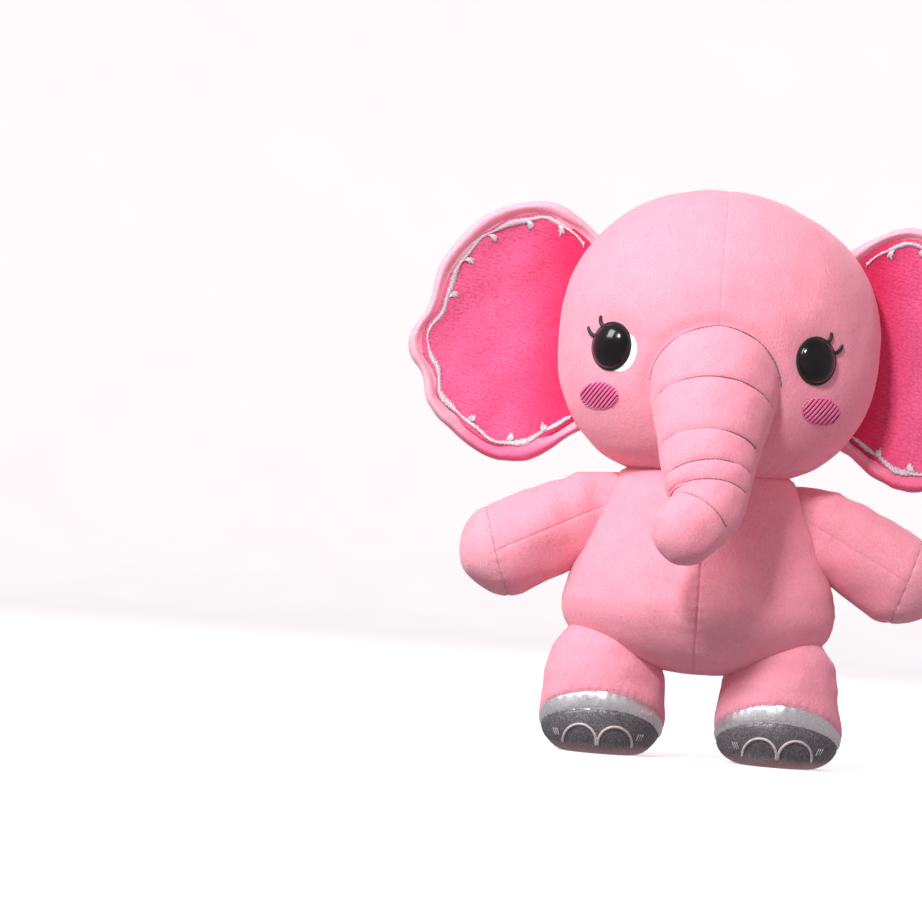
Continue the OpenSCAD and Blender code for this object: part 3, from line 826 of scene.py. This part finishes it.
eyes, rims, lash_pieces, cheeks, cheek_bases = {}, {}, {}, {}, {}
for side, s in SIDES.items():
    x = s * EYE_X + FACE_SHIFT
    eyes[side] = oval_form(f"eye_dome_{side}", x, EYE_Z, EYE_W - 2.0, EYE_H - 2.0, dome_profile(6.0),
                           finishes["eye_gloss"])
    rim = [(0.5, -1.2), (0.94, -1.2), (0.99, -0.3), (1.0, 0.4), (0.985, 0.8), (0.94, 1.0), (0.86, 0.9),
           (0.5, 0.7)]
    rims[side] = oval_form(f"eye_rim_{side}", x, EYE_Z, EYE_W, EYE_H, rim, finishes["felt_black"])

    lash = Threads()
    curves = [
        [(6.2, 4.6), (8.6, 5.0), (10.6, 5.9), (12.0, 7.8), (12.7, 10.0)],
        [(2.8, 9.2), (4.6, 10.2), (5.9, 11.4), (6.5, 13.4), (6.4, 15.6)],
    ]
    for curve in curves:
        path = spline([on_face(x + s * dx, EYE_Z + dz, 0.75) for dx, dz in curve], 5)
        taper = np.interp(np.linspace(0, 1, len(path)), [0, 0.6, 0.9, 1], [1.15, 1.05, 0.8, 0.35])
        lash.strand(path, taper, sides=10, flat=0.75)
    lash_pieces[side] = lash.piece(f"lash_threads_{side}", finishes["thread_black"])

    pad = [(0.5, -0.6), (0.99, -0.5), (1.0, 0.1), (0.96, 0.4), (0.85, 0.5), (0.4, 0.55)]
    cheek = s * CHEEK_X + FACE_SHIFT
    cheek_bases[side] = oval_form(f"cheek_ground_{side}", cheek, CHEEK_Z, 19.5, 13.2, pad,
                                  finishes["cheek_gap"])
    hatch = Threads()
    lean = math.radians(52)
    along = np.array([math.cos(lean), math.sin(lean)])
    aside = np.array([-along[1], along[0]])
    half_w, half_h = 9.9, 6.7
    rng = np.random.default_rng(31 + s)
    for offset in np.arange(-9.0, 9.1, 0.45):
        if (offset + 9.0) % 1.8 > 1.0:
            continue
        a = (along[0] / half_w) ** 2 + (along[1] / half_h) ** 2
        b = 2 * offset * (along[0] * aside[0] / half_w ** 2 + along[1] * aside[1] / half_h ** 2)
        c = offset ** 2 * ((aside[0] / half_w) ** 2 + (aside[1] / half_h) ** 2) - 1
        root = b * b - 4 * a * c
        if root <= 0.01:
            continue
        ends = [(-b + sign * math.sqrt(root)) / (2 * a) + rng.uniform(-0.25, 0.25) for sign in (-1, 1)]
        path = []
        for t in np.linspace(0, 1, 9):
            spot = along * mix(*ends, t) + aside * offset
            lift = 0.35 + 0.55 * math.sin(math.pi * t) ** 0.5
            path.append(on_face(cheek + spot[0], CHEEK_Z + spot[1], lift))
        hatch.strand(path, 0.3, sides=6)
    border = [on_face(cheek + half_w * math.cos(a), CHEEK_Z + half_h * math.sin(a), 0.3)
              for a in np.linspace(0, 2 * math.pi, 120)]
    hatch.stitches(border, 2.0, 0.25, 0.36)
    cheeks[side] = hatch.piece(f"cheek_threads_{side}", finishes["cheek_thread"])


def crescent():
    """White felt that shows past the inner edge of the elephant's right eye."""
    x0, z0 = FACE_SHIFT - EYE_X, EYE_Z
    rings = []
    section = [(0.0, -0.5), (0.55, -0.3), (1.0, 0.0), (0.97, 0.15), (0.8, 0.3), (0.35, 0.4), (0.0, 0.4)]
    for share, proud in section:
        ring = []
        for a in np.linspace(-1, 1, 41):
            angle = math.radians(-24 + 56 * a)
            inner = 0.93
            width = 0.38 * (1 - abs(a) ** 2.2) ** 0.7
            reach = mix(inner, inner + width, share)
            across = reach * EYE_W / 2 * math.cos(angle)
            up = reach * EYE_H / 2 * math.sin(angle)
            ring.append(on_face(x0 + across, z0 + up, proud))
        rings.append(ring)
    grid = np.array(rings)
    rows, cols = grid.shape[:2]
    faces = [[i * cols + j, i * cols + j + 1, ((i + 1) % rows) * cols + j + 1, ((i + 1) % rows) * cols + j]
             for i in range(rows) for j in range(cols - 1)]
    faces.append([i * cols for i in range(rows)])
    faces.append([i * cols + cols - 1 for i in reversed(range(rows))])
    return new_mesh("eye_crescent", grid.reshape(-1, 3), faces, finishes["felt_white"])


eye_crescent = crescent()

# ---------- ears ----------

EAR_Y = joint_at("ear_fold_left")[1]
EAR_OUTLINE = spline(EAR_EDGE, 9, closed=True)
EAR_REACH = np.linalg.norm(EAR_OUTLINE - EAR_CENTRE, axis=1)
EAR_OUT = (EAR_OUTLINE - EAR_CENTRE) / EAR_REACH[:, None]
# How far in from the edge the lining starts, and where the embroidered band runs.
TRIM_IN = 5.6
TRIM_LINE = 9.6
EAR_TILT = 0.06


def ear_ring(inset=None, share=None):
    """Points (x, z) all round, at a distance in from the edge, or at a share of the reach."""
    reach = EAR_REACH - inset if share is None else (EAR_REACH - TRIM_IN - 1) * share
    return EAR_CENTRE + EAR_OUT * reach[:, None]


def cup_depth(p):
    """How far back the lining lies at (x, z), deepest towards the head."""
    offset = p - EAR_CENTRE
    angle = np.arctan2(offset[:, 1], offset[:, 0])
    edge_angle = np.arctan2(EAR_OUT[:, 1], EAR_OUT[:, 0])
    order = np.argsort(edge_angle)
    reach = np.interp(angle, edge_angle[order], EAR_REACH[order], period=2 * math.pi)
    share = np.clip(np.linalg.norm(offset, axis=1) / reach, 0, 1)
    bowl = 8.6 * (1 - share ** 2.4)
    toward_head = 1.6 * smooth(-offset[:, 0], -20, 45) * (1 - share ** 3)
    fold = 0.9 * np.sin((offset[:, 0] * 0.5 + offset[:, 1] * 0.86) / 13.0) * (1 - share ** 2)
    return EAR_Y - 9.0 + bowl + toward_head + fold - EAR_TILT * offset[:, 0]


def ear_grid(layers, s):
    """Rings of points: each layer is (x and z all round, y all round)."""
    return np.array([np.column_stack([s * ring[:, 0], y, ring[:, 1]]) for ring, y in layers])


def ear_pieces(side, s):
    tilt = -EAR_TILT * (EAR_OUTLINE[:, 0] - EAR_CENTRE[0])
    under = [(ear_ring(share=t), cup_depth(ear_ring(share=t)) + 1.6) for t in (0.1, 0.4, 0.7, 0.9)]
    rim = [(TRIM_IN + 1.4, 1.2), (TRIM_IN + 0.6, 0.9), (TRIM_IN - 0.1, -0.5), (TRIM_IN - 0.8, -1.7),
           (4.0, -2.5), (3.2, -2.8), (2.3, -2.6), (1.4, -1.7), (0.7, -0.2), (0.2, 1.8), (0.0, 4.0),
           (0.3, 6.4), (1.2, 8.8), (2.8, 10.8), (5.5, 12.6)]
    seat = cup_depth(ear_ring(inset=TRIM_IN))
    turned = [(ear_ring(inset=i), seat + y) for i, y in rim]
    back = [(EAR_CENTRE + EAR_OUT * (EAR_REACH - 5.5)[:, None] * t, EAR_Y + tilt * t + mix(11.5, 4.2, t ** 2))
            for t in (0.95, 0.85, 0.72, 0.58, 0.44, 0.3, 0.16, 0.06)]
    body = closed_form(f"ear_skin_{side}", ear_grid(under + turned + back, s), finishes["ear_plush"])
    raise_skin(body, lambda p: 0.35 * lumps(p, 24, 41) + 0.1 * lumps(p, 9, 42))
    shares = [0.05, 0.12, 0.2, 0.28, 0.36, 0.44, 0.52, 0.6, 0.68, 0.76, 0.83, 0.89, 0.94, 0.975, 1.0]
    face = [(ear_ring(share=t), cup_depth(ear_ring(share=t)) + 0.9 * t ** 20) for t in shares]
    behind = [(ear_ring(share=t), cup_depth(ear_ring(share=t)) + 2.6) for t in (0.98, 0.85, 0.6, 0.35, 0.12)]
    lining = closed_form(f"ear_lining_cloth_{side}", ear_grid(face + behind, s), finishes["knit_pink"])
    raise_skin(lining, lambda p: 0.35 * lumps(p, 22, 43))
    return body, lining


def ear_spot(p, s, proud):
    p = np.atleast_2d(p)
    y = cup_depth(p) - proud
    return np.column_stack([s * p[:, 0], y, p[:, 1]])


SPROUTS = [24, 51, 71, 93, 109, -67, -91, -109]


def ear_trim(side, s):
    """Embroidered band inside the edge: short slanted threads, with leaf-like sprouts."""
    rng = np.random.default_rng(51)
    trim = Threads()
    middle_line = ear_ring(inset=TRIM_LINE)
    closed = np.vstack([middle_line, middle_line[:1]])
    steps = np.linalg.norm(np.diff(closed, axis=0), axis=1)
    s_along = np.concatenate([[0], np.cumsum(steps)])
    for at in np.arange(0, s_along[-1], 0.5):
        spot = np.array([np.interp(at, s_along, closed[:, k]) for k in range(2)])
        ahead = np.array([np.interp((at + 1) % s_along[-1], s_along, closed[:, k]) for k in range(2)]) - spot
        if spot[0] < 74:
            continue
        ahead /= np.linalg.norm(ahead)
        out = (spot - EAR_CENTRE) / np.linalg.norm(spot - EAR_CENTRE)
        spot = spot + out * (0.5 * math.sin(at / 7.0) + 0.35 * math.sin(at / 2.9))
        width = 1.05 + 0.35 * math.sin(at / 9.0) + 0.35 * math.sin(at / 3.7) + rng.uniform(-0.35, 0.35)
        slant = ahead * 0.9
        line = [spot + (out * width + slant) * t for t in np.linspace(-1, 1, 5)]
        path = ear_spot(np.array(line), s, np.array([-0.2, 0.35, 0.5, 0.35, -0.2]))
        trim.strand(path, 0.3, sides=5)
    for degrees in SPROUTS:
        a = math.radians(degrees)
        out = np.array([math.cos(a), math.sin(a)])
        index = int(np.argmax(EAR_OUT @ out))
        root = EAR_CENTRE + EAR_OUT[index] * (EAR_REACH[index] - TRIM_LINE - 0.8)
        lean = np.array([-out[1], out[0]]) * (1 if degrees > 0 else -1)
        for k in range(9):
            fan = (k - 4) / 4
            end = root - out * rng.uniform(3.4, 5.2) * (1 - 0.35 * abs(fan)) + lean * (1.6 * fan + 1.8)
            line = [mix(root + lean * fan * 0.9, end, t) + lean * 0.8 * math.sin(math.pi * t)
                    for t in np.linspace(0, 1, 6)]
            path = ear_spot(np.array(line), s, np.array([0.3, 0.7, 0.85, 0.8, 0.55, -0.1]))
            trim.strand(path, 0.36, sides=5)
    return trim.piece(f"ear_trim_threads_{side}", finishes["trim_silver"])


ears = {side: (*ear_pieces(side, s), ear_trim(side, s)) for side, s in SIDES.items()}

# ---------- arms ----------

def arm_rings(s):
    axis = HAND - SHOULDER
    length = np.linalg.norm(axis)
    tangent = axis / length
    aside = np.array([0.0, -1.0, 0.0])
    upward = np.cross(tangent, aside)
    angles = crowded([0, 180], 2.2, 0.9, 8)
    around = np.cos(angles)[:, None] * aside + np.sin(angles)[:, None] * upward
    rings = []
    for a in np.radians(np.arange(-86, 0, 6)):
        rings.append(NECK_CORNER + NECK_CORNER_R * (math.cos(a) * around + 0.5 * math.sin(a) * tangent))
    for t in np.linspace(0, 1, 12)[:-1]:
        rings.append(mix(NECK_CORNER, SHOULDER, t) + mix(NECK_CORNER_R, SHOULDER_R, t) * around)
    for t in np.linspace(0, 1, 46):
        rings.append(SHOULDER + axis * t + mix(SHOULDER_R, HAND_R, t) * around)
    for a in np.radians(np.arange(2.5, 88, 2.5)):
        rings.append(HAND + HAND_R * (math.cos(a) * around + math.sin(a) * tangent))
    rings = np.array(rings)
    flat = mix(0.72, 1.0, smooth(rings[..., 0], 52, 92))
    rings[..., 1] *= flat
    rings[..., 0] *= s
    return rings


def arm_surface(p, s):
    q = p * [s, 1, 1]
    axis = (HAND - SHOULDER) / np.linalg.norm(HAND - SHOULDER)
    upward = np.array([-axis[2], 0, axis[0]])
    above = (q - SHOULDER) @ upward
    along = (q - SHOULDER) @ axis
    past_cap = (q - CAP_SEAM) @ CAP_NORMAL
    length_seams = seam(above, along, 0.38, 0.7, 3.4)
    length_seams = length_seams * smooth(np.abs(q[:, 1]), 4, 12) * smooth(-past_cap, -1, 3)
    cap_seam = seam(past_cap, np.arctan2(above, q[:, 1]) * 24, 0.55, 0.7, 3.2)
    creases = 0.5 * np.sin(along / 3.1 + above / 9) * np.exp(-((along - 12) / 13) ** 2)
    return length_seams + cap_seam + creases + 0.5 * lumps(p, 30, 61) + 0.12 * lumps(p, 11, 62)


arms = {}
for side, s in SIDES.items():
    sleeve = closed_form(f"arm_sleeve_{side}", arm_rings(s), finishes["plush_pink"])
    raise_skin(sleeve, lambda p, s=s: arm_surface(p, s))
    cap = split(sleeve, f"hand_cap_skin_{side}", CAP_SEAM * [s, 1, 1], CAP_NORMAL * [s, 1, 1],
                finishes["hand_plush"])
    arms[side] = (sleeve, cap)

# ---------- legs ----------

def leg_rings(s):
    angles = crowded([-90, 90], 2.0, 1.0, 6)
    corner = [(FOOT_Y, FOOT_CORNER * (1 + math.sin(a)), mix(PATCH_R, FOOT_R, math.cos(a)))
              for a in np.radians(np.arange(-90, 1, 4.5))]
    sole = [(FOOT_Y, 0.0, PATCH_R * t) for t in (0.05, 0.25, 0.45, 0.65, 0.85, 0.95)]
    shaft = [(mix(FOOT_Y, HIP_BALL[1], smooth(t, 0, 1)), mix(FOOT_CORNER, HIP_BALL[2], t),
              mix(FOOT_R, HIP_R, smooth(t, 0, 1.3))) for t in np.linspace(0, 1, 30)[1:]]
    ball = [(HIP_BALL[1], HIP_BALL[2] + HIP_R * math.sin(a), HIP_R * math.cos(a))
            for a in np.radians(np.arange(3, 88, 4))]
    rings = []
    for y, z, radius in sole + corner + shaft + ball:
        x = s * HIP_BALL[0] + radius * np.cos(angles)
        rings.append(np.column_stack([x, y + radius * np.sin(angles), np.full(len(angles), z)]))
    return np.array(rings)


def slope_plane(level, slope):
    """A point on a plane that rises towards the toes, and its upward normal."""
    tilt = math.radians(slope)
    return np.array([0, FOOT_Y, level]), np.array([0, math.sin(tilt), math.cos(tilt)])


def leg_surface(p):
    height = np.zeros(len(p))
    for level, slope in ((BAND_LEVEL, BAND_SLOPE), (SOLE_LEVEL, SOLE_SLOPE)):
        at, up = slope_plane(level, slope)
        above = (p - at) @ up
        turn = np.arctan2(p[:, 1] - FOOT_Y, np.abs(p[:, 0]) - HIP[0]) * 33
        height += seam(above, turn, 0.75, 0.6, 2.6, 5.0)
    back_seam = seam(np.abs(p[:, 0]) - HIP[0], p[:, 2], 0.6, 0.8, 4) * smooth(p[:, 1], 0, 10)
    creases = 0.45 * np.sin(p[:, 2] / 2.6 + p[:, 1] / 14) * np.exp(-((p[:, 2] - 52) / 10) ** 2)
    height += back_seam * smooth(p[:, 2], 12, 18) + creases
    height += 0.55 * lumps(p, 34, 71) + 0.12 * lumps(p, 12, 72)
    return height * smooth(p[:, 2], 0.2, 7)


legs = {}
for side, s in SIDES.items():
    leg = closed_form(f"leg_sleeve_skin_{side}", leg_rings(s), finishes["plush_pink"])
    raise_skin(leg, leg_surface)
    at, up = slope_plane(BAND_LEVEL, BAND_SLOPE)
    band = split(leg, f"toe_band_cloth_{side}", at, -up, finishes["lame_silver"])
    at, up = slope_plane(SOLE_LEVEL, SOLE_SLOPE)
    sole = split(band, f"sole_cloth_{side}", at, -up, finishes["glitter_grey"])
    sole_tree = tree_of(sole)
    motif = Threads()
    base = middle(f"sole_motif_{side}")
    low, high = span(f"sole_motif_{side}")
    for hump in (-1, 1):
        centre = base[0] + hump * 9.0
        arch = []
        for a in np.radians(np.arange(-8, 189, 3)):
            z = max(low[2] - 2.6, 2.6) + 8.8 * math.sin(a)
            place, normal = touch(sole_tree, centre + 8.6 * math.cos(a), z)
            arch.append(place + normal * 0.45)
        motif.strand(arch, 0.7, sides=8)
        for k in range(3):
            offset = 2.2 + 1.5 * k
            twig = []
            for t in np.linspace(0, 1, 8):
                x = base[0] + hump * (18.2 + offset * 0.7 + 1.4 * t)
                place, normal = touch(sole_tree, x, low[2] - 0.6 + 3.5 * t)
                twig.append(place + normal * 0.2)
            motif.strand(twig, 0.26, sides=6)
    legs[side] = (leg, band, sole, motif.piece(f"sole_motif_threads_{side}", finishes["motif_thread"]))

# ---------- tail ----------

TAIL_ROOT = joint_at("tail_swing")
TAIL_LEN = 24.0
TAIL_TILT = math.radians(25)


def tail_rings():
    down = np.array([0, math.sin(TAIL_TILT), -math.cos(TAIL_TILT)])
    forth = np.cross(down, [1.0, 0, 0])
    rings = []
    angles = np.linspace(0, 2 * math.pi, 28, endpoint=False)
    for t in np.linspace(-0.12, 1.06, 60):
        centre = TAIL_ROOT + down * TAIL_LEN * t + forth * 1.0 * math.sin(4 * t)
        end = min(1.0, (t + 0.125) / 0.08, (1.065 - t) / 0.08)
        radius = mix(4.6, 3.4, max(t, 0)) * math.sqrt(max(end, 0.03)) * (1 + 0.03 * math.sin(30 * t))
        around = np.cos(angles)[:, None] * [1.0, 0, 0] + np.sin(angles)[:, None] * forth
        rings.append(centre + radius * around)
    return np.array(rings)


tail = closed_form("tail_skin", tail_rings(), finishes["plush_pink"])


def tail_tuft():
    """Short strands that fan out from the end of the tail."""
    rng = np.random.default_rng(81)
    low, high = span("tail_tuft")
    centre, reach = (low + high) / 2, (high - low) / 2
    down = np.array([0, math.sin(TAIL_TILT), -math.cos(TAIL_TILT)])
    tuft = Threads()
    for _ in range(260):
        out = rng.normal(size=3)
        out /= np.linalg.norm(out)
        root = centre - down * reach[2] * 0.75 + out * 2.6
        tip = centre + out * reach * rng.uniform(0.8, 1.05) + down * reach[2] * 0.35
        tip = np.clip(tip, low - 1.5, high + 1.5)
        bend = (root + tip) / 2 + out * 1.4
        tuft.strand(spline([root, bend, tip], 4), np.linspace(0.75, 0.2, 9), sides=5)
    return tuft.piece("tail_tuft_strands", finishes["tuft_pink"])


tuft = tail_tuft()

# ---------- what rides on what ----------

def fit(piece, body, nodes=()):
    if body:
        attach(piece, body)
    if nodes:
        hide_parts(*nodes)


fit(head, "head", ["head_panel_left", "head_panel_right", "head_stuffing"])
fit(eye_crescent, "head", ["eye_highlight_patch"])
fit(trunk_root_stitch, "head", ["trunk_root_stitch"])
fit(torso, "torso",
    ["torso_panel_front_left", "torso_panel_front_right", "torso_panel_back", "torso_stuffing"])
fit(trunk, "trunk", ["trunk_upper_panel", "trunk_under_panel", "trunk_stuffing"])
fit(trunk_ring_stitches, "trunk", ["trunk_ring_stitches"])
fit(tail, "tail", ["tail"])
fit(tuft, "tail", ["tail_tuft"])
for side, s in SIDES.items():
    fit(eyes[side], "head", [f"eye_{side}"])
    fit(rims[side], "head", [f"eye_backing_{side}"])
    fit(lash_pieces[side], "head", [f"lashes_{side}"])
    fit(cheek_bases[side], "head")
    fit(cheeks[side], "head", [f"cheek_patch_{side}"])
    ear_body, ear_cloth, ear_threads = ears[side]
    for piece in ears[side]:
        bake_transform(piece)
    fit(ear_body, None, [f"ear_back_{side}", f"ear_wadding_{side}"])
    fit(ear_cloth, None, [f"ear_lining_{side}"])
    fit(ear_threads, None, [f"ear_trim_{side}"])
    sleeve, cap = arms[side]
    fit(sleeve, f"arm_{side}",
        [f"arm_upper_panel_{side}", f"arm_lower_panel_{side}", f"arm_stuffing_{side}"])
    fit(cap, f"arm_{side}", [f"hand_cap_{side}"])
    leg, band, sole, motif = legs[side]
    fit(leg, f"leg_{side}",
        [f"leg_sleeve_{side}", f"leg_stuffing_{side}", f"pellet_bag_{side}"])
    fit(band, f"leg_{side}", [f"toe_band_{side}"])
    fit(sole, f"leg_{side}", [f"sole_{side}"])
    fit(motif, f"leg_{side}", [f"sole_motif_{side}"])
    washer = frame["nodes"][f"eye_washer_{side}"]
    washer.data.materials.clear()
    washer.data.materials.append(finishes["washer_white"])

# ---------- stage, light and camera ----------

def backdrop():
    """A pale round floor that curves up into a wall on every side, in one sheet."""
    bend = [(3.2 + 0.8 * math.sin(a), 0.8 - 0.8 * math.cos(a)) for a in np.linspace(0.1, math.pi / 2, 14)]
    profile = [(0.3, 0.0), (1.2, 0.0), (3.2, 0.0)] + bend + [(4.0, 3.5)]
    turns = 96
    angles = np.linspace(0, 2 * math.pi, turns, endpoint=False)
    points = [(r * math.cos(a), r * math.sin(a), z) for r, z in profile for a in angles]
    faces = [list(range(turns))]
    for start in range(0, (len(profile) - 1) * turns, turns):
        for c in range(turns):
            d = (c + 1) % turns
            faces.append([start + c, start + turns + c, start + turns + d, start + d])
    mesh = bpy.data.meshes.new("backdrop")
    mesh.from_pydata(points, [], faces)
    mesh.shade_smooth()
    paper = Finish("backdrop_paper", roughness=0.9)
    grain = paper.noise(8, 2, 0.5)
    paper.colour(paper.ramp(grain, (0.3, srgb(243, 240, 241)), (0.7, srgb(248, 246, 247))))
    paper.set(Emission_Color=(1.0, 0.99, 0.99, 1.0), Emission_Strength=0.55)
    mesh.materials.append(paper.material)
    sheet = bpy.data.objects.new("backdrop", mesh)
    sheet.visible_diffuse = False
    sheet.visible_glossy = False
    sheet.visible_shadow = False
    scene.collection.objects.link(sheet)


backdrop()
TARGET = Vector((0, AXIS[1] * MM, 0.15))


def soft_box(name, azimuth, elevation, distance, size, power, colour):
    """An area light aimed at the object; azimuth 0 stands in front, positive to the viewer's right."""
    a, e = math.radians(azimuth), math.radians(elevation)
    light = bpy.data.lights.new(name, "AREA")
    light.shape = "RECTANGLE"
    light.size, light.size_y = size
    light.energy = power
    light.color = colour
    lamp = bpy.data.objects.new(name, light)
    away = Vector((math.sin(a) * math.cos(e), -math.cos(a) * math.cos(e), math.sin(e)))
    lamp.location = TARGET + away * distance
    lamp.rotation_euler = away.to_track_quat("Z", "Y").to_euler()
    lamp.visible_glossy = name != "rose_fill"
    scene.collection.objects.link(lamp)


soft_box("key", -58, 36, 1.7, (0.6, 0.65), 17, (1.0, 0.98, 0.97))
soft_box("second", -20, 33, 1.8, (0.22, 0.24), 25, (1.0, 0.97, 0.97))
soft_box("rose_fill", 80, 8, 1.8, (0.9, 0.9), 4, (1.0, 0.42, 0.58))
soft_box("back", 165, 40, 1.9, (0.8, 0.8), 9, (1.0, 0.96, 0.97))

world = bpy.data.worlds.new("studio")
world.use_nodes = True
world.node_tree.nodes["Background"].inputs["Color"].default_value = (1.0, 0.92, 0.95, 1)
world.node_tree.nodes["Background"].inputs["Strength"].default_value = 0.38
scene.world = world
scene.view_settings.view_transform = "Standard"

VIEW_WIDTH = 0.4868
SEEN = Vector((-0.1303, AXIS[1] * MM, 0.1468))
STAND = Vector((0.0, -2.0, 0.09))
ROLL = 0.0785


def camera():
    lens = bpy.data.cameras.new("camera")
    lens.sensor_width = 36
    lens.lens = 36 * (SEEN - STAND).length / VIEW_WIDTH
    eye = bpy.data.objects.new("camera", lens)
    back = (STAND - SEEN).normalized()
    right = Vector((-ROLL, 0, 1)).cross(back).normalized()
    up = back.cross(right)
    eye.matrix_world = Matrix((
        (right.x, up.x, back.x, STAND.x), (right.y, up.y, back.y, STAND.y),
        (right.z, up.z, back.z, STAND.z), (0, 0, 0, 1)))
    scene.collection.objects.link(eye)
    scene.camera = eye


camera()
